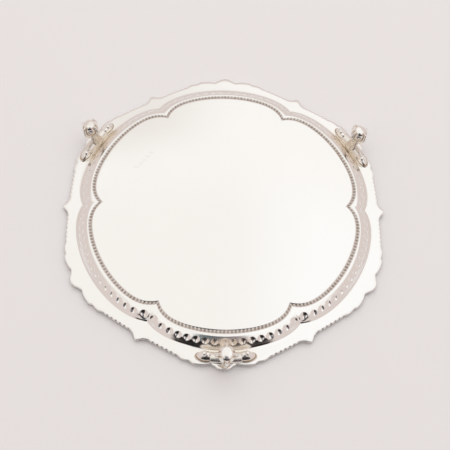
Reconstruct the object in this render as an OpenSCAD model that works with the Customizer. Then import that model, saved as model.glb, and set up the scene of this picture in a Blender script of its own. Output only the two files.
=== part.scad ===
// A silver salver lying face down: its underside and three claw-and-ball feet point up (+Z),
// and the cast border on its face rests on z = 0. Millimetres.
// The rim repeats every 60 degrees. A cusp, where two lobes meet, is at 0 degrees.

/* [Body] */
// Diameter across the points of the rim's shells
salver_d = 254; // [230:2:306]
// Thickness of the silver sheet
sheet_t = 1.2; // [0.9:0.1:1.5]
// Height of the well's underside over the flange's underside
well_h = 6.5; // [5:0.5:9]

/* [Border] */
// Thickness of the cast border on the flange's face
border_h = 3.4; // [2.8:0.1:5]
// Gadroons on one strip of the border
gadroons = 6; // [4:1:12]
// How far a gadroon's nose swells past the edge
nose = 0.8; // [0.4:0.1:1.2]

/* [Feet] */
// Diameter of the ball
ball_d = 12; // [10:0.2:12.6]
// Height of a foot over the flange's underside
foot_h = 21.6; // [20:0.2:26]
// Diameter of a foot's leg where it meets the flange
leg_d = 8.4; // [7.6:0.2:9]
// How far the leg leans outwards, in degrees
lean = 14; // [10:1:20]
// Thickness of a bracket scroll
scroll_d = 5.2; // [4.4:0.2:6]
// Thickness of the oval volute at a bracket's end
volute_d = 7.2; // [6.4:0.2:8]

/* [Hidden] */
lobes = 6;
feet = 3;
lobe_angle = 360 / lobes;
half_lobe = lobe_angle / 2;
foot_angles = [270.7, 30, 150];
k = salver_d / 254;
flange_z = border_h + sheet_t;
well_z = flange_z + well_h;
eps = 0.01;

// Plan curves: [radius at a lobe's middle, dip towards the cusp, pinch at the cusp itself]
well_edge = [100.6, 0.9, 7.8] * k;
cove_middle = [110.0, 2.0, 3.4] * k;
flange_in = [113.4, 2.0, 4.1] * k;
border_in = [116.0, 2.6, 1.4] * k;
cove_share = 0.5;

// Rings of the sheet from the well outwards: [plan curve, share of well_h that it has dropped].
// The second and third make the floor of the bead line, and the fourth and fifth the shoulder.
rings = [
    [well_edge, 0],
    [[101.4, 0.9, 7.8] * k, 0.07],
    [[102.8, 0.9, 7.8] * k, 0.07],
    [[103.9, 1.1, 7.2] * k, 0.01],
    [[104.8, 2.6, 4.0] * k, 0.03],
    [[105.9, 3.0, 2.8] * k, 0.09],
    [[107.4, 2.6, 2.7] * k, 0.21],
    [cove_middle, cove_share],
    [[112.4, 2.0, 3.9] * k, 0.87],
    [flange_in, 1.0],
];

// The rim's edge: [angle from a shell's middle, radius], from the shell out to the cusp's point
edge = [
    [0, 127.0], [1.5, 126.3], [3, 124.3], [4.2, 123.2], [5.5, 123.9], [7.5, 124.5],
    [9.8, 124.4], [10.8, 123.2], [12.5, 123.1], [13.8, 122.6], [15.5, 121.0],
    [26, 118.3], [28, 119.5], [30, 122.4],
];
shell_end = 15.5;
leaf_start = 26;
sheet_inset = 0.6;
nose_steps = 8;
plain_steps = 44;

// Angles from a shell's middle at which the sheet is sampled
steps = [0, 1.5, 3, 4.2, 5.5, 7.5, 9.8, 10.8, 13.8, 15.5, 19, 22.5, 26, 28, 29];
lobe_steps = concat([for (i = [len(steps) - 1:-1:1]) -steps[i]], steps, [half_lobe]);
angles = [for (n = [0:lobes - 1], s = lobe_steps) half_lobe + n * lobe_angle + s];
count = len(angles);

function from_mid(a) = abs((a - floor(a / lobe_angle) * lobe_angle) - half_lobe);
function plan_r(c, a) = let (u = from_mid(a) / half_lobe) c[0] - c[1] * pow(u, 2) - c[2] * pow(u, 6);
function edge_r(a) = k * lookup(from_mid(a), edge);
function polar(r, a) = [r * cos(a), r * sin(a)];
function ring_points(c, z) = [for (a = angles) concat(polar(plan_r(c, a), a), z)];
function edge_points(z) = [for (a = angles) concat(polar(edge_r(a) - sheet_inset, a), z)];

// A border piece's outline between two angles, with the number of gadroon noses on its edge
function border_outline(a0, a1, noses = 0) =
    let (n = noses > 0 ? noses * nose_steps : plain_steps, d = (a1 - a0) / n)
    concat(
        [for (i = [0:n]) let (a = a0 + i * d)
            polar(edge_r(a) + (noses > 0 ? nose * abs(sin(180 * i / nose_steps)) - nose / 2 : 0), a)],
        [for (i = [8:-1:0]) let (a = a0 + i * (a1 - a0) / 8) polar(plan_r(border_in, a), a)]
    );

// A shell of rings, closed by a fan at the centre of each side and by the outer edge
module salver_plate() {
    upper = [for (r = rings) ring_points(r[0], well_z - r[1] * well_h)];
    lower = [for (r = rings) ring_points(r[0], well_z - r[1] * well_h - sheet_t)];
    loops = concat(upper, [edge_points(flange_z)], [edge_points(flange_z - sheet_t)],
        [for (i = [len(rings) - 1:-1:0]) lower[i]]);
    last = len(loops) - 1;
    points = concat([for (l = loops) each l], [[0, 0, well_z], [0, 0, well_z - sheet_t]]);
    top = len(loops) * count;
    function at(l, i) = l * count + i % count;
    color("silver") polyhedron(points = points, faces = concat(
        [for (i = [0:count - 1]) [top, at(0, i + 1), at(0, i)]],
        [for (l = [0:last - 1], i = [0:count - 1]) each
            [[at(l, i), at(l, i + 1), at(l + 1, i + 1)], [at(l, i), at(l + 1, i + 1), at(l + 1, i)]]],
        [for (i = [0:count - 1]) [top + 1, at(last, i), at(last, i + 1)]]
    ));
}

// A length of gadroon border with a groove between each two gadroons
module gadroon_strip(a0, a1) {
    groove = 1;
    groove_l = 24 * k;
    groove_r = salver_d / 2 - 6 * k;
    pitch = (a1 - a0) / gadroons;
    color("gainsboro") difference() {
        linear_extrude(border_h) polygon(border_outline(a0, a1, gadroons));
        for (i = [1:gadroons - 1])
            rotate([0, 0, a0 + i * pitch])
                translate([groove_r, 0, 0])
                    rotate([45, 0, 0])
                        cube([groove_l, groove, groove], center = true);
    }
}

// A cast shell: a fan of seven ribs in relief between two pairs of round scrolls
module rim_shell(a) {
    ribs = 7;
    rib_step = 15;
    rib_root = 117 * k;
    half_rib = 1.1 * k;
    relief = border_h * 0.6;
    middle = (ribs - 1) / 2;
    // Each scroll: [angle from the shell's middle, radius at which it sits, its own radius]
    scrolls = [[8.2, 120.4, 3.2], [13, 118.9, 2.2]];
    color("whitesmoke") {
        translate([0, 0, relief])
            linear_extrude(border_h - relief)
                polygon(border_outline(a - shell_end, a + shell_end));
        linear_extrude(relief) rotate(a) {
            translate([rib_root, 0])
                for (i = [0:ribs - 1]) rotate((i - middle) * rib_step) {
                    rib_l = (9.4 - 0.5 * pow(i - middle, 2)) * k;
                    shoulder = rib_l - half_rib;
                    polygon([[0, 0], [shoulder, -half_rib], [rib_l, 0], [shoulder, half_rib]]);
                }
            for (side = [-1, 1], s = scrolls)
                rotate(side * s[0]) translate([s[1] * k, 0]) circle(r = s[2] * k, $fn = 48);
        }
    }
}

// The pointed leaf that covers the border's joint at a cusp
module corner_leaf(a) {
    reach = half_lobe - leaf_start;
    relief = border_h * 0.4;
    rib_root = 113.6 * k;
    rib_fan = 24;
    rib_tip = 0.35;
    color("whitesmoke") {
        translate([0, 0, relief])
            linear_extrude(border_h - relief)
                polygon(border_outline(a - reach, a + reach));
        rotate([0, 0, a])
            for (i = [-1:1])
                translate([rib_root, 0, border_h * 0.42])
                    rotate([0, 90, i * rib_fan])
                        cylinder(h = (7.6 - 1.6 * abs(i)) * k, r1 = relief, r2 = rib_tip, $fn = 24);
    }
}

root_r = 117.6 * k;
ball_r = ball_d / 2;
ball_z = foot_h - ball_r + 0.25;

module at_foot(a) {
    rotate([0, 0, a]) translate([root_r, 0, flange_z]) children();
}

// One casting: a leaning leg, a ball with a small worn flat, and the four talons that hold it
module foot(a) {
    leg_r = leg_d / 2;
    // How far the leg starts under the flange's surface, before it is cut off level with it
    leg_sunk = 2;
    axis_l = ball_z / cos(lean);
    talon_r = 1.4;
    talon_root = -72;
    cut_w = 40;
    cut_h = 10;
    // [direction round the ball, with 0 outwards, and how far past the ball's middle the talon ends]
    talons = [[0, 40], [88, 48], [180, 30], [272, 48]];
    color("silver") at_foot(a) difference() {
        rotate([0, lean, 0]) {
            translate([0, 0, -leg_sunk])
                rotate_extrude($fn = 48)
                    polygon([
                        [0, 0], [leg_r, 0], [leg_r, 3.4], [leg_r * 0.76, 6],
                        [leg_r * 0.64, 9], [leg_r * 0.7, 12], [leg_r * 0.94, 15.4], [0, 17],
                    ]);
            translate([0, 0, axis_l]) {
                sphere(r = ball_r, $fn = 48);
                for (t = talons)
                    rotate([90, 0, t[0]])
                        rotate([0, 0, talon_root])
                            rotate_extrude(angle = t[1] - talon_root, $fn = 48)
                                translate([ball_r + 0.4, 0])
                                    circle(r = talon_r, $fn = 24);
            }
        }
        for (z = [-cut_h / 2, foot_h + cut_h / 2])
            translate([0, 0, z]) cube([cut_w, cut_w, cut_h], center = true);
        translate([-root_r, 0, 0])
            cylinder(h = (1 - cove_share) * well_h, r1 = flange_in[0], r2 = cove_middle[0], $fn = 180);
    }
}

// One side of a foot's bracket: a scroll along the flange that ends in a fat oval volute
module foot_scroll(a, side) {
    scroll_r = 118.8 * k;
    scroll_start = 1;
    volute_start = 4.9;
    volute_end = 8.4;
    sunk_share = 0.3;
    volute_z = flange_z + volute_d * sunk_share;
    cut_h = 10;
    // A bar along the rim between two angles from the leg
    module bar(from, to, d, z)
        rotate([0, 0, side > 0 ? a + from : a - to])
            rotate_extrude(angle = to - from, $fn = 180)
                translate([scroll_r, z])
                    circle(d = d, $fn = 32);
    color("gainsboro") difference() {
        union() {
            bar(scroll_start, volute_start, scroll_d, flange_z + scroll_d * sunk_share);
            bar(volute_start, volute_end, volute_d - 0.2, volute_z);
            for (at = [volute_start, volute_end])
                rotate([0, 0, a + side * at])
                    translate([scroll_r, 0, volute_z])
                        sphere(d = volute_d, $fn = 48);
        }
        translate([0, 0, flange_z - cut_h / 2]) cube([300 * k, 300 * k, cut_h], center = true);
        at_foot(a)
            rotate([0, lean, 0])
                cylinder(h = 16, d = leg_d + eps, center = true, $fn = 48);
    }
}

salver_plate();
for (i = [1:lobes]) {
    mid = half_lobe + (i - 1) * lobe_angle;
    rim_shell(mid);
    corner_leaf(mid - half_lobe);
    gadroon_strip(mid - leaf_start, mid - shell_end);
    gadroon_strip(mid + shell_end, mid + leaf_start);
}
for (i = [1:feet]) {
    foot(foot_angles[i - 1]);
    foot_scroll(foot_angles[i - 1], -1);
    foot_scroll(foot_angles[i - 1], 1);
}
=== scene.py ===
"""A silver salver lying face down, with its claw-and-ball feet up, on a pale studio floor."""
import math

import bmesh
import bpy
import numpy as np
from mathutils import Matrix, Vector


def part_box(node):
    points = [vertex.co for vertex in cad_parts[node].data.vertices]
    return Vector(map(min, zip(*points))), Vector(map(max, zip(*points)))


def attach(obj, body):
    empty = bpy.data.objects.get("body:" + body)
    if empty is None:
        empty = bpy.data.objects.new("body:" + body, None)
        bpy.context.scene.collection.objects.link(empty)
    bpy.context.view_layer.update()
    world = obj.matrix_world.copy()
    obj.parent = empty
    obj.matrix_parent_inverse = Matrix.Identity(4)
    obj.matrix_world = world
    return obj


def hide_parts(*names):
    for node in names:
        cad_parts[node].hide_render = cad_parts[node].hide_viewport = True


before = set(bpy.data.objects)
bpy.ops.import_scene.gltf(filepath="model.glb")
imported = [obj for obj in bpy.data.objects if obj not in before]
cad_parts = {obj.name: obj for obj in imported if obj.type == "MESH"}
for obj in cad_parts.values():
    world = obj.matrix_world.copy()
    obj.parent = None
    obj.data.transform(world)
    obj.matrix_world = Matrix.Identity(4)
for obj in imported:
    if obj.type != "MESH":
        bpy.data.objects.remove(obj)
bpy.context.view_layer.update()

MM = 0.001

# ---------------------------------------------------------------- driving dimensions
# The model repeats every 60 degrees. A shell is in the middle of a lobe and a cusp is between two
# lobes. Sizes in plan are in millimetres on a 254 mm salver, and K brings them to this one's size.
LOBES = 6
LOBE = 360 / LOBES
HALF = LOBE / 2
FOOT_ANGLES = (270.7, 30, 150)
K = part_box("rim_shell_2")[1][1] / (127 * MM)
WELL_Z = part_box("salver_plate")[1][2]                 # underside of the well
BORDER_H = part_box("gadroon_strip_1")[1][2]            # where the border castings meet the flange
SHEET_MM = 1.2
SHEET_T = SHEET_MM * MM
FLANGE_Z = BORDER_H + SHEET_T
WELL_H = WELL_Z - FLANGE_Z
FOOT_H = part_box("foot_1")[1][2] - FLANGE_Z

BEADS = 41               # punched beads on one lobe
SAMPLES = 6              # mesh columns on one bead
BEAD_LONG = 1.1          # half of a bead's length along its row
BEAD_WIDE = 1.3          # half of its width
BEAD_DEEP = 0.50
BOSSES = 17              # bosses on one lobe
BOSS_PITCH = 6.45
BOSS_R = 2.3             # a boss's radius on the cove's slope
BOSS_DEEP = 0.88         # how far its middle is sunk
COVE_FALL = 0.80         # cosine of the cove's slope at the bosses
END_BOSS = 1.25          # size of the boss next to a cusp against the others
END_BOSS_ON = 1.3        # how much nearer to the cusp it sits than the pitch says
END_BOSS_IN = 0.3        # how much nearer to the well

SHELL_END = 15.5         # degrees from the middle of a shell to its end
LEAF_START = 26          # degrees from the middle of a shell to the corner leaf
GADROONS = 6             # on one strip
NOTCH_IN = 0.45          # the notch between two gadroons lies this far inside the edge
NOSE_RISE = 0.75         # and a gadroon's nose stands this far out of the notch
SHEET_INSET = 0.3        # how far the sheet's edge lies inside the castings' edge

BALL_R = 6.0 * MM
LEAN = math.radians(14)
ROOT_R = 117.6 * K * MM
SCROLL_R = 118.8 * K * MM

# The rim's edge: (degrees from a shell's middle, radius)
EDGE = [
    (0, 127.0), (1.5, 126.3), (3, 124.3), (4.2, 123.2), (5.5, 123.9), (7.5, 124.5),
    (9.8, 124.4), (10.8, 123.2), (12.5, 123.1), (13.8, 122.6), (15.5, 121.0),
    (26, 118.3), (28, 119.5), (30, 122.4),
]

# Lines that run round the lobes: radius at a lobe's middle, dip towards the cusp, pinch at the cusp
BORDER_IN = (116.0, 2.6, 1.4)
BEAD_LINE = (102.1, 0.9, 7.8)
BOSS_LINE = (108.9, 2.0, 3.2)

# The underside from the well outwards: such lines, each with its height under the well
STATIONS = [
    (99.2, 0.9, 7.8, 0.00), (100.2, 0.9, 7.8, -0.01), (100.6, 0.9, 7.8, -0.07),
    (101.0, 0.9, 7.8, -0.42), (101.5, 0.9, 7.8, -0.52), (102.7, 0.9, 7.8, -0.40),
    (103.5, 1.0, 7.5, -0.17), (104.1, 1.3, 6.8, -0.07), (104.7, 2.4, 4.4, -0.16),
    (105.3, 2.8, 3.4, -0.33), (106.0, 3.0, 2.8, -0.62), (107.4, 2.6, 2.7, -1.35),
    (108.5, 2.3, 3.0, -1.96), (110.0, 2.0, 3.4, -3.04), (112.4, 2.0, 3.9, -5.66),
    (113.2, 2.0, 4.0, -6.30), (113.8, 2.0, 4.1, -6.46), (114.8, 2.0, 4.1, -6.50),
]
STEPS = [1, 1, 2, 1, 4, 2, 1, 1, 1, 2, 4, 3, 4, 6, 2, 2, 1]      # mesh rings from each to the next
FLAT_SHARES = (0.2, 0.75)                                        # mesh rings on a flat part

# The sheet's rounded edge, from the underside to the face: (in from the edge, down)
SHEET_EDGE = [(0.35, 0.0), (0.08, 0.1), (0.0, 0.35), (0.0, 0.85), (0.08, 1.1), (0.35, SHEET_MM)]

# A casting's walls, inner and outer: (share of the way out, share of the way up)
INNER_WALL = [(0.0, 1.0), (0.0, 0.6)]
OUTER_WALL = [(0.985, 0.60), (0.998, 0.74), (1.0, 0.88), (0.985, 1.0)]


# ---------------------------------------------------------------- plan curves
def from_mid(a):
    """Degrees from the nearest shell's middle."""
    return np.abs(np.mod(a, LOBE) - HALF)


def off_angle(a, centre):
    """Degrees from a fixed angle, from -180 to 180."""
    return np.mod(a - centre + 180, 360) - 180


def plan_r(curve, a):
    u = from_mid(a) / HALF
    return curve[0] - curve[1] * u**2 - curve[2] * u**6


def hermite(t, start, end, start_slope, end_slope):
    return (
        (2 * t**3 - 3 * t**2 + 1) * start + (t**3 - 2 * t**2 + t) * start_slope
        + (-2 * t**3 + 3 * t**2) * end + (t**3 - t**2) * end_slope
    )


def smooth_table(pairs, x):
    """A smooth curve through a table that is level at both of its ends."""
    xs, ys = np.array(pairs, float).T
    slope = np.zeros(len(xs))
    slope[1:-1] = (ys[2:] - ys[:-2]) / (xs[2:] - xs[:-2])
    i = np.clip(np.searchsorted(xs, x, side="right") - 1, 0, len(xs) - 2)
    h = xs[i + 1] - xs[i]
    return hermite((x - xs[i]) / h, ys[i], ys[i + 1], h * slope[i], h * slope[i + 1])


def edge_r(a):
    return smooth_table(EDGE, from_mid(a))


def tooth(a):
    """How far the gadroons' noses and the narrow notches between them lie out of the edge."""
    d = from_mid(a)
    turn = math.pi * (d - SHELL_END) / (LEAF_START - SHELL_END) * GADROONS
    out = NOSE_RISE * np.abs(np.sin(turn)) ** 0.6 - NOTCH_IN
    return np.where((d > SHELL_END) & (d < LEAF_START), out, 0.0)


def along(curve):
    """Fine angles over one lobe and the distance along a curve to each of them."""
    fine = np.linspace(0, LOBE, 6001)
    r = plan_r(curve, fine)
    x, y = r * np.cos(np.radians(fine)), r * np.sin(np.radians(fine))
    return fine, np.concatenate([[0], np.cumsum(np.hypot(np.diff(x), np.diff(y)))])


def on_every_lobe(one):
    return np.concatenate([one + n * LOBE for n in range(LOBES)])


def lobe_columns():
    """Angles of the mesh columns round the salver, evenly spaced along the bead line."""
    fine, s = along(BEAD_LINE)
    return on_every_lobe(np.interp(np.arange(BEADS * SAMPLES) / (BEADS * SAMPLES) * s[-1], s, fine))


# ---------------------------------------------------------------- mesh helpers
class Shape:
    """Vertices, faces and recess values gathered from several surfaces that make one piece."""

    def __init__(self):
        self.verts, self.faces, self.recess = [], [], []

    def grid(self, points, recess):
        """points[v][u] with u round the surface. Adds the quads between neighbours."""
        points = np.asarray(points, float)
        nv, nu = points.shape[:2]
        base = len(self.verts)
        self.verts.extend(points.reshape(-1, 3))
        self.recess.extend(np.broadcast_to(recess, (nv, nu)).reshape(-1))
        for v in range(nv - 1):
            row, after = base + v * nu, base + (v + 1) * nu
            for u in range(nu):
                beside = (u + 1) % nu
                self.faces.append((row + u, row + beside, after + beside, after + u))
        return base

    def cap(self, first, count, centre, recess=0.0, flip=False):
        """A fan from one point to a ring of count vertices."""
        self.verts.append(centre)
        self.recess.append(recess)
        c = len(self.verts) - 1
        for i in range(count):
            a, b = first + i, first + (i + 1) % count
            self.faces.append((c, b, a) if flip else (c, a, b))

    def closed(self, points, recess, start, end, end_recess=(0.0, 0.0)):
        """A grid whose first and last rings are closed by a fan to a point."""
        nv, nu = np.shape(points)[:2]
        first = self.grid(points, recess)
        self.cap(first, nu, start, end_recess[0])
        self.cap(first + (nv - 1) * nu, nu, end, end_recess[1], flip=True)

    def join(self, other, move):
        """Adds another shape with its points moved."""
        base = len(self.verts)
        self.verts.extend(move(np.array(other.verts)))
        self.faces.extend(tuple(base + i for i in face) for face in other.faces)
        self.recess.extend(other.recess)


def new_piece(name, node, material, shape, warm=None):
    """Makes a shape a piece of the model in place of a CAD node."""
    mesh = bpy.data.meshes.new(name)
    mesh.from_pydata([tuple(v) for v in shape.verts], [], [tuple(f) for f in shape.faces])
    mesh.validate()
    whole = bmesh.new()
    whole.from_mesh(mesh)
    bmesh.ops.recalc_face_normals(whole, faces=whole.faces)
    whole.to_mesh(mesh)
    whole.free()
    for attribute, values in (("recess", shape.recess), ("warm", warm)):
        if values is not None:
            data = mesh.attributes.new(attribute, "FLOAT", "POINT").data
            data.foreach_set("value", np.asarray(values, np.float32))
    mesh.polygons.foreach_set("use_smooth", [True] * len(mesh.polygons))
    mesh.materials.append(material)
    mesh.update()
    piece = bpy.data.objects.new(name, mesh)
    bpy.context.scene.collection.objects.link(piece)
    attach(piece, "root")
    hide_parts(node)


def tube(shape, path, widths, depths, sides, recess, up=(0, 0, 1)):
    """A swept bar along a path. widths are its half-widths across the up side, depths along it."""
    tangent = np.gradient(path, axis=0)
    tangent /= np.linalg.norm(tangent, axis=1)[:, None]
    turn = np.linspace(0, 2 * math.pi, sides, endpoint=False)[:, None]
    rings = []
    for p, t, width, depth in zip(path, tangent, widths, depths):
        side = np.cross(t, up)
        side /= np.linalg.norm(side)
        rings.append(p + width * np.cos(turn) * side + depth * np.sin(turn) * np.cross(side, t))
    shape.closed(rings, recess, path[0], path[-1], (recess, recess))


# ---------------------------------------------------------------- materials
def put(tree, socket, value):
    """Sets a socket to a value or links it to another socket."""
    if isinstance(value, bpy.types.NodeSocket):
        tree.links.new(value, socket)
    else:
        socket.default_value = value


def mix_colour(tree, factor, a, b):
    node = tree.nodes.new("ShaderNodeMix")
    node.data_type = "RGBA"
    for name, value in (("Factor", factor), ("A", a), ("B", b)):
        put(tree, node.inputs[name], value)
    return node.outputs["Result"]


def math_node(tree, operation, *values, clamp=False):
    node = tree.nodes.new("ShaderNodeMath")
    node.operation = operation
    node.use_clamp = clamp
    for socket, value in zip(node.inputs, values):
        put(tree, socket, value)
    return node.outputs[0]


def ramp(tree, value, low, high):
    """0 at low, 1 at high, and a smooth step between them. low may be the larger one."""
    node = tree.nodes.new("ShaderNodeMapRange")
    node.interpolation_type = "SMOOTHSTEP"
    node.inputs["From Min"].default_value = min(low, high)
    node.inputs["From Max"].default_value = max(low, high)
    if low > high:
        node.inputs["To Min"].default_value, node.inputs["To Max"].default_value = 1, 0
    tree.links.new(value, node.inputs["Value"])
    return node.outputs[0]


def noise(tree, coords, scale, detail, stretch=(1, 1, 1), turn=0.0):
    mapping = tree.nodes.new("ShaderNodeMapping")
    mapping.inputs["Scale"].default_value = stretch
    mapping.inputs["Rotation"].default_value = (0, 0, turn)
    tree.links.new(coords, mapping.inputs["Vector"])
    node = tree.nodes.new("ShaderNodeTexNoise")
    node.inputs["Scale"].default_value = scale
    node.inputs["Detail"].default_value = detail
    tree.links.new(mapping.outputs["Vector"], node.inputs["Vector"])
    return node.outputs["Fac"]


def point_value(tree, name):
    """A value that the mesh holds at its points, or 0 if it has none of that name."""
    node = tree.nodes.new("ShaderNodeAttribute")
    node.attribute_name = name
    return node.outputs["Fac"]


def new_material(name):
    material = bpy.data.materials.new(name)
    material.use_nodes = True
    tree = material.node_tree
    coords = tree.nodes.new("ShaderNodeTexCoord").outputs["Object"]
    return material, tree, tree.nodes["Principled BSDF"], coords


MARKS = 5
MARK_PITCH = 4.4 * MM
MARKS_PLACE = (-70 * MM, 31 * MM, 0)     # where the row of marks starts
MARKS_TURN = math.radians(52.6)
MARK_DEEP = 6.0                          # against a polishing scratch
FEET_REFLECTION_TINT = (0.96, 0.875, 0.76, 1)      # painted tan reflection of the feet and brackets on the cove
FEET_REFLECTION_DULL = 0.16                        # how much rougher the silver is under that painted reflection
TARNISH_DULL = 0.42                      # and a fully tarnished recess
SCRATCH_DEEP = 0.04 * MM


def punch_row(tree, coords):
    """0 to 1: a row of blank punch marks on the underside, where the photo has a row of marks."""
    mapping = tree.nodes.new("ShaderNodeMapping")
    mapping.vector_type = "TEXTURE"
    mapping.inputs["Location"].default_value = MARKS_PLACE
    mapping.inputs["Rotation"].default_value = (0, 0, MARKS_TURN)
    mapping.inputs["Scale"].default_value = (MARK_PITCH, MARK_PITCH, 1)
    tree.links.new(coords, mapping.inputs["Vector"])
    parts = tree.nodes.new("ShaderNodeSeparateXYZ")
    tree.links.new(mapping.outputs["Vector"], parts.inputs[0])
    u, v, z = parts.outputs

    def op(name, *values):
        return math_node(tree, name, *values)

    across = op("ABSOLUTE", op("SUBTRACT", op("FRACT", u), 0.5))
    upright = op("MULTIPLY", op("ABSOLUTE", v), 0.75)
    off = op("POWER", op("ADD", op("POWER", across, 4), op("POWER", upright, 4)), 0.25)
    row = op("MULTIPLY", op("GREATER_THAN", u, 0.0), op("LESS_THAN", u, float(MARKS)))
    under = op("MULTIPLY", row, op("GREATER_THAN", z, WELL_Z - SHEET_T / 2))
    return op("MULTIPLY", ramp(tree, off, 0.38, 0.31), under)


def silver(name, clean, tarnish_and_shade, roughness, scratch, marked=False):
    """Polished silver: fine polishing scratches, patchy gloss, darker recesses that are partly tarnished
    silver and partly painted shade, and a painted tan reflection beside the feet.
    """
    material, tree, shader, coords = new_material(name)
    warm = point_value(tree, "warm")
    cloud = noise(tree, coords, 28, 4)
    speck = math_node(tree, "ADD", noise(tree, coords, 420, 3), 0.45)
    # recess values broken up by a speckle: tarnished recesses and painted shade
    tarnish_and_shade_mask = math_node(tree, "MULTIPLY", point_value(tree, "recess"), speck, clamp=True)
    clouded = tuple(c * 0.95 for c in clean[:3]) + (1,)
    tone = mix_colour(tree, math_node(tree, "MULTIPLY", cloud, 0.35), clean, clouded)
    # painted reflection: a tan tint on the cove beside the feet
    tone = mix_colour(tree, warm, tone, FEET_REFLECTION_TINT)
    # the dark colour: tarnished silver in recesses, and painted shade low on the balls and beside the
    # talons
    tree.links.new(mix_colour(tree, tarnish_and_shade_mask, tone, tarnish_and_shade), shader.inputs["Base Color"])
    shader.inputs["Metallic"].default_value = 1.0
    rough = math_node(tree, "MULTIPLY_ADD", cloud, 0.10, roughness - 0.05)
    rough = math_node(tree, "ADD", rough, math_node(tree, "MULTIPLY", tarnish_and_shade_mask, TARNISH_DULL))
    rough = math_node(tree, "ADD", rough, math_node(tree, "MULTIPLY", warm, FEET_REFLECTION_DULL))
    tree.links.new(rough, shader.inputs["Roughness"])
    lines_a = noise(tree, coords, 60, 2, (1, 26, 1), 0.5)
    lines_b = noise(tree, coords, 70, 2, (24, 1, 1), 0.2)
    lines = math_node(tree, "ADD", lines_a, lines_b)
    if marked:
        punched = math_node(tree, "MULTIPLY", punch_row(tree, coords), MARK_DEEP)
        lines = math_node(tree, "SUBTRACT", lines, punched)
    bump_node = tree.nodes.new("ShaderNodeBump")
    bump_node.inputs["Strength"].default_value = scratch
    bump_node.inputs["Distance"].default_value = SCRATCH_DEEP
    tree.links.new(lines, bump_node.inputs["Height"])
    tree.links.new(bump_node.outputs["Normal"], shader.inputs["Normal"])
    return material


def floor_paper():
    """Pale matt paper with a faint mottle."""
    material, tree, shader, coords = new_material("pale_paper")
    mottle = math_node(tree, "MULTIPLY", noise(tree, coords, 3, 4), 0.5)
    paper = mix_colour(tree, mottle, (0.865, 0.855, 0.865, 1), (0.845, 0.832, 0.842, 1))
    tree.links.new(paper, shader.inputs["Base Color"])
    shader.inputs["Roughness"].default_value = 0.9
    shader.inputs["Specular IOR Level"].default_value = 0.1
    return material


# the last colour of each is for tarnished recesses and painted shade; on the feet it paints the shade on
# the balls
SHEET = silver("silver_sheet", (0.965, 0.955, 0.935, 1), (0.42, 0.35, 0.30, 1), 0.10, 0.25, True)
CAST = silver("silver_cast", (0.955, 0.94, 0.91, 1), (0.42, 0.34, 0.26, 1), 0.15, 0.3)
FEET = silver("silver_feet", (0.955, 0.935, 0.90, 1), (0.52, 0.39, 0.25, 1), 0.17, 0.3)


# ---------------------------------------------------------------- the sheet
def station_rows():
    """Stations filled in with a smooth curve: rows of (radius, dip, pinch, height)."""
    table = np.array(STATIONS, float)
    slope = np.gradient(table, axis=0)
    rows = [table[0]]
    for i, n in enumerate(STEPS):
        for j in range(1, n + 1):
            rows.append(hermite(j / n, table[i], table[i + 1], slope[i], slope[i + 1]))
    return np.array(rows)


def bead_marks(columns, r):
    """How deep each point of the bead line lies in its punched bead, from 0 to 1."""
    pitch = along(BEAD_LINE)[1][-1] / BEADS
    on = (np.arange(len(columns)) % SAMPLES - SAMPLES / 2) / SAMPLES * pitch
    out = r - plan_r(BEAD_LINE, columns)
    return np.clip(1 - (on / BEAD_LONG) ** 2 - (out / BEAD_WIDE) ** 2, 0, 1) ** 1.2


def boss_centres():
    """Angles, radii and sizes of the bosses, at an even pitch but for the one at each cusp."""
    index = np.arange(BOSSES) - (BOSSES - 1) / 2
    last = np.abs(index) == (BOSSES - 1) / 2
    fine, s = along(BOSS_LINE)
    place = s[-1] / 2 + index * BOSS_PITCH + np.where(last, END_BOSS_ON * np.sign(index), 0)
    a = on_every_lobe(np.interp(place, s, fine))
    r = plan_r(BOSS_LINE, a) - np.tile(np.where(last, END_BOSS_IN, 0), LOBES)
    return a, r, np.tile(np.where(last, END_BOSS, 1.0), LOBES)


def punch_bosses(a, r, z):
    """The cove with its bosses punched in. A boss is a shallow round bowl with a sharp edge."""
    z = z.copy()
    for boss_a, boss_r, size in zip(*boss_centres()):
        aside = np.radians(off_angle(a, boss_a)) * boss_r
        q = np.hypot(aside, (r - boss_r) / COVE_FALL) / (BOSS_R * size)
        z -= BOSS_DEEP * size * np.clip(1 - q**2, 0, 1)
    return z


def near_feet(a, r):
    """1 on the cove beside a foot's brackets, where a tan reflection of the feet is painted and the silver
    is made duller.
    """
    off = np.min([np.abs(off_angle(a, foot_angle)) for foot_angle in FOOT_ANGLES], axis=0)
    return np.exp(-((off / 9) ** 4)) * np.exp(-(((r - plan_r(BOSS_LINE, a) - 2.4) / 5.0) ** 4))


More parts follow.
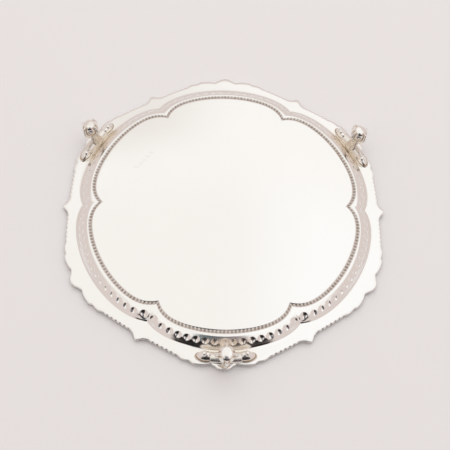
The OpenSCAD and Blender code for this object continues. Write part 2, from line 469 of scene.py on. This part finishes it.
def sheet_piece():
    """The whole sheet as one closed skin: underside, edge and face."""
    columns = lobe_columns()
    n = len(columns)
    rows = station_rows()
    a = np.broadcast_to(columns, (len(rows), n))
    r = np.array([plan_r(row, columns) for row in rows])
    z = np.repeat(rows[:, 3:4], n, axis=1) * (WELL_H / MM / -STATIONS[-1][3])
    bead_hit = bead_marks(columns, r)
    z = punch_bosses(a, r, z) - BEAD_DEEP * bead_hit
    flat = z[-1].mean()
    groove = np.clip(1.25 - np.abs(r - plan_r(BEAD_LINE, a) + 0.1) / 1.5, 0, 1)
    # darker in the bead groove and beads, and a little darker beside the feet as part of the painted
    # reflection there
    recess = np.clip(0.50 * groove + 0.80 * bead_hit + 0.10 * near_feet(a, r), 0, 1)

    shares = np.array(FLAT_SHARES)[:, None]
    well = shares * r[0]
    edge = edge_r(columns) + tooth(columns) - SHEET_INSET
    flange = r[-1] + shares * (edge - SHEET_EDGE[0][0] - r[-1])
    lip = np.array([edge - inwards for inwards, down in SHEET_EDGE])
    lip_z = np.array([np.full(n, flat - down) for inwards, down in SHEET_EDGE])
    level, none = np.full_like(flange, flat), np.zeros_like(well)

    pick = list(range(len(rows) - 1, 0, -3))     # the face needs fewer rings than the underside
    all_r = np.vstack([well, r, flange, lip, flange[::-1], r[pick], well[::-1]])
    face_z = np.vstack([level, z[pick], none]) - SHEET_MM
    all_z = np.vstack([none, z, level, lip_z, face_z])
    face_recess = np.vstack([none, recess[pick] * 0.6, none])
    all_recess = np.vstack([none, recess, none, np.full_like(lip, 0.04), face_recess])
    rad, scale = np.radians(columns), K * MM
    x, y = all_r * np.cos(rad) * scale, all_r * np.sin(rad) * scale
    points = np.stack([x, y, all_z * MM + WELL_Z], -1)

    shape = Shape()
    shape.closed(points[::-1], all_recess[::-1], (0, 0, WELL_Z - SHEET_T), (0, 0, WELL_Z))
    verts = np.array(shape.verts)
    angle = np.degrees(np.arctan2(verts[:, 1], verts[:, 0]))
    # where the tan reflection of the feet is painted on the cove
    warm = near_feet(angle, np.hypot(verts[:, 0], verts[:, 1]) / scale)
    new_piece("salver_sheet", "salver_plate", SHEET, shape, warm)


# ---------------------------------------------------------------- the border castings
def casting(name, node, a0, a1, columns, relief, nose):
    """A cast length of border. relief(a, s) is its thickness as a share, s running from its inner
    edge out, and nose(a) is how far its outline lies out of the edge."""
    a = np.linspace(a0, a1, columns)
    inner, outer = plan_r(BORDER_IN, a), edge_r(a) + nose(a)
    rings = [(s, np.full_like(a, up), np.full_like(a, 0.5)) for s, up in INNER_WALL]
    for s in np.linspace(0.06, 0.97, 15):
        depth = np.clip(relief(a, s), 0.08, 1.0)
        rings.append((s, 1 - depth, np.clip(1.1 - depth * 1.2, 0, 1) * 0.8))
    notches = np.clip((-0.1 - nose(a)) * 1.6, 0.02, 1)
    rings += [(s, np.full_like(a, up), notches) for s, up in OUTER_WALL]

    rad = np.radians(a)
    points = []
    for s, up, _ in rings:
        r = inner + s * (outer - inner)
        points.append(np.stack([r * np.cos(rad) * K * MM, r * np.sin(rad) * K * MM, up * BORDER_H], -1))
    loop = np.transpose(np.array(points), (1, 0, 2))[::-1]
    recess = np.array([marks for _, _, marks in rings]).T[::-1]
    shape = Shape()
    shape.closed(loop, recess, loop[0].mean(axis=0), loop[-1].mean(axis=0), (0.5, 0.5))
    new_piece(name, node, CAST, shape)


def bump(d, width):
    """A round hump: 1 where d is 0, and 0 from width on."""
    return np.clip(1 - (d / width) ** 2, 0, 1)


def gadroon(index, a0, a1):
    """Slanting gadroons: a row of swelling noses, each parted from the next by a narrow groove."""
    pitch = (a1 - a0) / GADROONS

    def relief(a, s):
        swell = np.abs(np.sin(math.pi * (a - a0) / pitch + 1.6 * (s - 1)))
        return np.sqrt(np.clip(1 - (2 * s - 1.06) ** 2, 0, 1)) * (0.35 + 0.65 * swell**0.5)

    casting(f"gadroon_casting_{index}", f"gadroon_strip_{index}", a0, a1, GADROONS * 16 + 1, relief, tooth)


# A shell's scrolls: (degrees from its middle, size in degrees, share of the way out)
SHELL_SCROLLS = ((8.2, 1.75, 0.52), (13.0, 1.25, 0.5))
SHELL_RIBS = 95          # ripples on one radian of a shell's edge
SHELL_FAN = 3.4          # degrees from its middle to the end of the fan's scalloped outline


def shell(index, mid):
    """A fan of ribs at the middle and a pair of scrolls on each side."""

    def relief(a, s):
        d = a - mid
        across, out = np.radians(d) * 120, s * 9.5
        ribs = np.abs(np.cos(np.arctan2(across, out + 1.5) * 6.0)) ** 0.7
        fan = ribs * bump(np.hypot(across, out - 5.5), 9.0)
        scrolls = np.zeros_like(a)
        for centre, size, middle in SHELL_SCROLLS:
            dist = np.hypot(np.abs(d) - centre, (s - middle) * 3.2)
            ring = 0.62 + 0.38 * np.cos(dist / size * 6.5)
            scrolls = np.maximum(scrolls, bump(dist, size * 1.15) * ring)
        ripple = 0.55 + 0.2 * np.abs(np.sin(np.radians(d) * SHELL_RIBS))
        edge_roll = bump(s - 0.88, 0.16) * ripple
        return 0.22 + 0.78 * np.maximum(np.maximum(fan, scrolls), edge_roll)

    def nose(a):
        d = np.abs(a - mid)
        scallops = 0.22 * np.abs(np.cos(np.radians(d) * SHELL_RIBS)) - 0.23
        return np.where(d < SHELL_FAN, scallops, -0.08)

    start, end = mid - SHELL_END, mid + SHELL_END
    casting(f"shell_casting_{index}", f"rim_shell_{index}", start, end, 249, relief, nose)


def leaf(index, mid):
    """A pointed leaf with a raised midrib and side veins."""
    reach = HALF - LEAF_START

    def relief(a, s):
        d = np.abs(a - mid) / reach
        veins = 0.45 + 0.4 * (0.5 + 0.5 * np.cos((s * 5.0 - d * 2.2) * math.pi))
        blade = (1 - d) ** 0.5 * veins * bump(s - 0.5, 0.62)
        return 0.3 + 0.7 * np.maximum(bump(d, 0.16), blade)

    def nose(a):
        return -0.12 + 0.1 * np.abs(np.cos((a - mid) / reach * math.pi * 2.5))

    casting(f"leaf_casting_{index}", f"corner_leaf_{index}", mid - reach, mid + reach, 65, relief, nose)


# ---------------------------------------------------------------- the feet
# A foot's own axes are out, along the rim, and up, from the middle of its root on the flange.
LEG_AXIS = np.array([math.sin(LEAN), 0, math.cos(LEAN)])
LEG_SIDE = np.array([0, 1.0, 0])
LEG_FRONT = np.cross(LEG_SIDE, LEG_AXIS)
BALL_Z = FOOT_H - BALL_R + 0.25 * MM     # so that wear takes a small flat off the ball's top
BALL = np.array([math.tan(LEAN) * BALL_Z, 0, BALL_Z])
BALL_TOP = 0.97                          # height of the flattened end against the radius
ROOT_DEEP = 0.5 * MM                     # how far the foot reaches into the flange

# Talons round the ball: direction, with 0 outwards, and how far past its middle each one ends
TALONS = [(0, 40), (88, 48), (180, 30), (272, 48)]

# Half-widths in millimetres: along the leg from its knee, and along a talon to its tip
LEG_AT = [0, 0.06, 0.13, 0.2, 0.3, 0.42, 0.54, 0.66, 0.8, 0.92, 1]
LEG_WIDE = [8.6, 7.9, 6.4, 5.0, 4.3, 3.9, 3.8, 4.0, 4.5, 4.7, 3.4]
LEG_THICK = [3.7, 3.6, 3.4, 3.2, 3.1, 3.1, 3.2, 3.5, 4.2, 4.6, 3.4]
TALON_AT = [0, 0.18, 0.32, 0.52, 0.66, 0.85, 1]
TALON_THICK = [1.6, 1.7, 1.25, 1.5, 1.25, 0.95, 0.3]


def ball_profile(e):
    """Distance from the ball's axis and height along it, at the angle e from its middle."""
    power = np.where(e > 0, 0.70, 1.0)
    height = np.where(e > 0, BALL_TOP, 1.0)
    return BALL_R * np.cos(e) ** power, BALL_R * height * np.sign(e) * np.abs(np.sin(e)) ** power


def ball(shape):
    """The ball, with painted shade low down and beside each talon."""
    lat = np.radians(np.concatenate([np.linspace(-84, 0, 22), np.linspace(4, 86, 26)]))
    lon = np.linspace(0, 2 * math.pi, 96, endpoint=False)
    out, up = ball_profile(lat)
    ring = np.cos(lon)[:, None] * LEG_FRONT + np.sin(lon)[:, None] * LEG_SIDE
    skin = BALL + out[:, None, None] * ring + up[:, None, None] * LEG_AXIS
    # painted shade: darker low down on the ball
    deep = np.clip((-np.sin(lat) + 0.2) * 0.9, 0, 0.8)[:, None] + np.zeros((1, len(lon)))
    # painted shade in the gap beside each talon, up to the talon's tip
    for turn, tip in TALONS:
        off = np.abs(np.mod(lon - math.radians(turn) + math.pi, 2 * math.pi) - math.pi)
        aside = off * np.cos(lat)[:, None] * BALL_R / MM
        past = np.clip((np.degrees(lat)[:, None] - tip) / 10, 0, 1)
        deep = np.maximum(deep, np.exp(-(((aside - 1.5) / 0.65) ** 2)) * (1 - past))
    under, top = BALL - BALL_R * LEG_AXIS, BALL + BALL_TOP * BALL_R * LEG_AXIS
    # the pole under the ball carries the same painted shade
    shape.closed(skin, deep, under, top, (0.8, 0.0))


def leg(shape):
    """The leg, slightly bowed inwards, on its flared knee."""
    t = np.linspace(0, 1, 34)
    bow = 0.6 * MM * np.sin(t * math.pi)[:, None]
    path = np.outer(t, LEG_AXIS) * (BALL_Z / math.cos(LEAN) - 0.5 * MM) - bow * LEG_FRONT
    wide, thick = (np.interp(t, LEG_AT, sizes) * MM for sizes in (LEG_WIDE, LEG_THICK))
    tube(shape, path, wide, thick, 40, 0.25, LEG_FRONT)


def talon(shape, turn, tip):
    """A talon with two knuckles that lies on the ball and ends in a point."""
    out = math.cos(math.radians(turn)) * LEG_FRONT + math.sin(math.radians(turn)) * LEG_SIDE
    rho, height = ball_profile(np.radians(np.linspace(-78, tip, 30)))
    share = np.linspace(0, 1, 30)
    lift = 1 + np.interp(share, [0, 0.2, 0.35, 0.6, 0.85, 1], [0.03, 0.12, 0.08, 0.12, 0.05, -0.03])
    path = BALL + lift[:, None] * (rho[:, None] * out + height[:, None] * LEG_AXIS)
    thick = np.interp(share, TALON_AT, TALON_THICK) * MM
    tube(shape, path, thick, thick, 16, 0.05, np.cross(out, LEG_AXIS))


def foot(index, angle):
    """A leaning leg on a flared knee that ends in a claw, with its ball worn flat at the top."""
    own = Shape()
    ball(own)
    leg(own)
    for turn, tip in TALONS:
        talon(own, turn, tip)

    def placed(points):
        c, s = math.cos(math.radians(angle)), math.sin(math.radians(angle))
        x, y = points[:, 0] + ROOT_R, points[:, 1]
        z = np.clip(points[:, 2], -ROOT_DEEP, FOOT_H)
        return np.stack([x * c - y * s, x * s + y * c, z + FLANGE_Z], -1)

    shape = Shape()
    shape.join(own, placed)
    new_piece(f"claw_foot_{index}", f"foot_{index}", FEET, shape)


def rim_point(angle, radius, height):
    """A point at an angle and radius of the salver and a height over the flange."""
    a = np.radians(angle)
    return np.stack([radius * np.cos(a), radius * np.sin(a), FLANGE_Z + height + 0 * a], -1)


def button(shape, centre, size):
    """A round bead with its middle at a point."""
    lat = np.linspace(-math.pi / 2 + 0.2, math.pi / 2 - 0.2, 12)[:, None]
    lon = np.linspace(0, 2 * math.pi, 20, endpoint=False)[None, :]
    x, y = np.cos(lat) * np.cos(lon), np.cos(lat) * np.sin(lon)
    skin = centre + size * np.stack([x, y, np.sin(lat) + 0 * lon], -1)
    shape.closed(skin, 0.0, centre - np.array([0, 0, size]), centre + np.array([0, 0, size]))


PAD_LONG, PAD_WIDE, PAD_TALL = 7.9 * MM, 4.2 * MM, 5.0 * MM
PAD_LEAN = 1.5 * MM      # how much nearer to the well its crown lies than its middle
PAD_DEEP = 0.3 * MM      # how far its edge reaches into the flange
PAD_TROUGH = 0.35 * MM   # the groove round its edge


def pad(shape, angle, radius):
    """An oval cushion on the flange with a grooved edge."""
    share = np.concatenate([np.linspace(1, 0.95, 4), np.linspace(0.93, 0.03, 28)])[:, None]
    lon = np.linspace(0, 2 * math.pi, 72, endpoint=False)[None, :]
    dome = np.clip(1 - share**1.9, 0, 1) ** 0.75
    trough = np.exp(-(((share - 0.86) / 0.05) ** 2))
    a = angle + np.degrees(PAD_LONG * share * np.cos(lon) / radius)
    r = radius + PAD_WIDE * share * np.sin(lon) - PAD_LEAN * dome
    height = PAD_TALL * dome - PAD_TROUGH * trough - PAD_DEEP + 0 * lon
    middle = rim_point(np.array(angle), radius, -0.4 * MM)
    crown = rim_point(np.array(angle), radius - PAD_LEAN, PAD_TALL - PAD_DEEP)
    shape.closed(rim_point(a, r, height), 1.3 * trough + 0 * lon, middle, crown, (0.9, 0.0))


def scroll(index, angle, hand, name):
    """An oval volute on the flange with a bead on its crown, and a short bar to the knee."""
    shape = Shape()
    n = 20
    bar = rim_point(angle + hand * np.linspace(1.2, 5.2, n), SCROLL_R, np.full(n, 0.8 * MM))
    tube(shape, bar, np.full(n, 3.9 * MM), np.full(n, 3.0 * MM), 32, 0.2)
    pad(shape, angle + hand * 6.7, SCROLL_R + 0.2 * MM)
    button(shape, rim_point(np.array(angle + hand * 7.2), SCROLL_R - 1.2 * MM, 3.6 * MM), 2.2 * MM)
    new_piece(f"bracket_{index}_{name}", f"foot_{index}_scroll_{name}", FEET, shape)


# ---------------------------------------------------------------- stage, light and camera
def floor():
    size = 8.0
    corners = [(-size, -size, 0), (size, -size, 0), (size, size, 0), (-size, size, 0)]
    mesh = bpy.data.meshes.new("studio_floor")
    mesh.from_pydata(corners, [], [(0, 1, 2, 3)])
    mesh.materials.append(floor_paper())
    obj = bpy.data.objects.new("studio_floor", mesh)
    bpy.context.scene.collection.objects.link(obj)


def studio():
    """The room that the silver reflects: white overhead, a warm pale band at the horizon, and in
    front the photographer, in grey high up and nearly black low down."""
    world = bpy.data.worlds.new("studio")
    bpy.context.scene.world = world
    world.use_nodes = True
    tree = world.node_tree
    direction = tree.nodes.new("ShaderNodeTexCoord").outputs["Generated"]
    parts = tree.nodes.new("ShaderNodeSeparateXYZ")
    tree.links.new(direction, parts.inputs[0])
    x, y, z = parts.outputs

    def op(name, *values):
        return math_node(tree, name, *values)

    # cream on the left, white on the right, and a dimmer corner low on the left
    cream, white = (0.955, 0.935, 0.905, 1), (1.02, 1.02, 1.02, 1)
    ceiling = mix_colour(tree, ramp(tree, x, 0.02, 0.14), cream, white)
    ceiling = mix_colour(tree, ramp(tree, z, 0.86, 0.825), ceiling, (1.0, 0.985, 0.965, 1))
    corner = op("MULTIPLY", ramp(tree, z, 0.825, 0.80), ramp(tree, x, 0.05, -0.09))
    ceiling = mix_colour(tree, corner, ceiling, (0.86, 0.83, 0.79, 1))
    sky = mix_colour(tree, ramp(tree, z, 0.62, 0.78), (0.72, 0.635, 0.605, 1), ceiling)

    # forward is 1 in front of the salver, at any height
    flat = op("SQRT", op("MAXIMUM", op("SUBTRACT", 1.0, op("MULTIPLY", z, z)), 0.0001))
    forward = op("DIVIDE", op("MULTIPLY", y, -1.0), flat)
    teal, plum = (0.085, 0.115, 0.13, 1), (0.25, 0.185, 0.20, 1)
    clothes = mix_colour(tree, ramp(tree, x, -0.12, 0.18), teal, plum)
    upper = op("MULTIPLY", ramp(tree, forward, 0.91, 0.955), ramp(tree, z, 0.955, 0.93))
    sky = mix_colour(tree, upper, sky, clothes)
    lower = op("MULTIPLY", ramp(tree, forward, 0.81, 0.86), ramp(tree, z, 0.60, 0.50))
    lower = op("MULTIPLY", lower, ramp(tree, z, 0.08, 0.20))
    sky = mix_colour(tree, lower, sky, (0.018, 0.015, 0.014, 1))
    background = tree.nodes["Background"]
    tree.links.new(sky, background.inputs["Color"])
    background.inputs["Strength"].default_value = 1.0


def softbox(name, place, aim, size, power):
    light = bpy.data.lights.new(name, "AREA")
    light.shape = "RECTANGLE"
    light.size, light.size_y = size
    light.energy = power
    light.color = (1.0, 0.985, 0.965)
    obj = bpy.data.objects.new(name, light)
    obj.location = place
    obj.rotation_euler = (Vector(aim) - Vector(place)).to_track_quat("-Z", "Y").to_euler()
    obj.visible_glossy = False
    obj.visible_camera = False
    bpy.context.scene.collection.objects.link(obj)


def camera():
    """At the photographed angle: high in front, turned a little to the left and tilted."""
    azimuth, elevation, roll = (math.radians(v) for v in (-3.0, 60.9, 3.66))
    distance = 0.5396
    target = Vector((0.0003, -0.0183, WELL_Z))
    level = math.cos(elevation)
    back = Vector((math.sin(azimuth) * level, -math.cos(azimuth) * level, math.sin(elevation)))
    right = (-back).cross(Vector((0, 0, 1))).normalized()
    up = right.cross(-back)
    right_r = math.cos(roll) * right + math.sin(roll) * up
    up_r = -math.sin(roll) * right + math.cos(roll) * up
    data = bpy.data.cameras.new("camera")
    data.sensor_width = 36
    data.lens = 58.2
    data.clip_start, data.clip_end = 0.01, 50
    cam = bpy.data.objects.new("camera", data)
    turn = Matrix((right_r, up_r, back)).transposed().to_4x4()
    cam.matrix_world = Matrix.Translation(target + back * distance) @ turn
    bpy.context.scene.collection.objects.link(cam)
    bpy.context.scene.camera = cam


camera()
sheet_piece()
for i in range(1, LOBES + 1):
    middle = HALF + (i - 1) * LOBE
    shell(i, middle)
    leaf(i, middle - HALF)
    gadroon(2 * i - 1, middle - LEAF_START, middle - SHELL_END)
    gadroon(2 * i, middle + SHELL_END, middle + LEAF_START)
for i, foot_angle in enumerate(FOOT_ANGLES, 1):
    foot(i, foot_angle)
    scroll(i, foot_angle, -1, "left")
    scroll(i, foot_angle, 1, "right")
floor()
studio()
softbox("overhead_softbox", (0.1, 0.5, 1.5), (0, 0, 0), (1.6, 1.6), 6)
bpy.context.scene.view_settings.view_transform = "Standard"
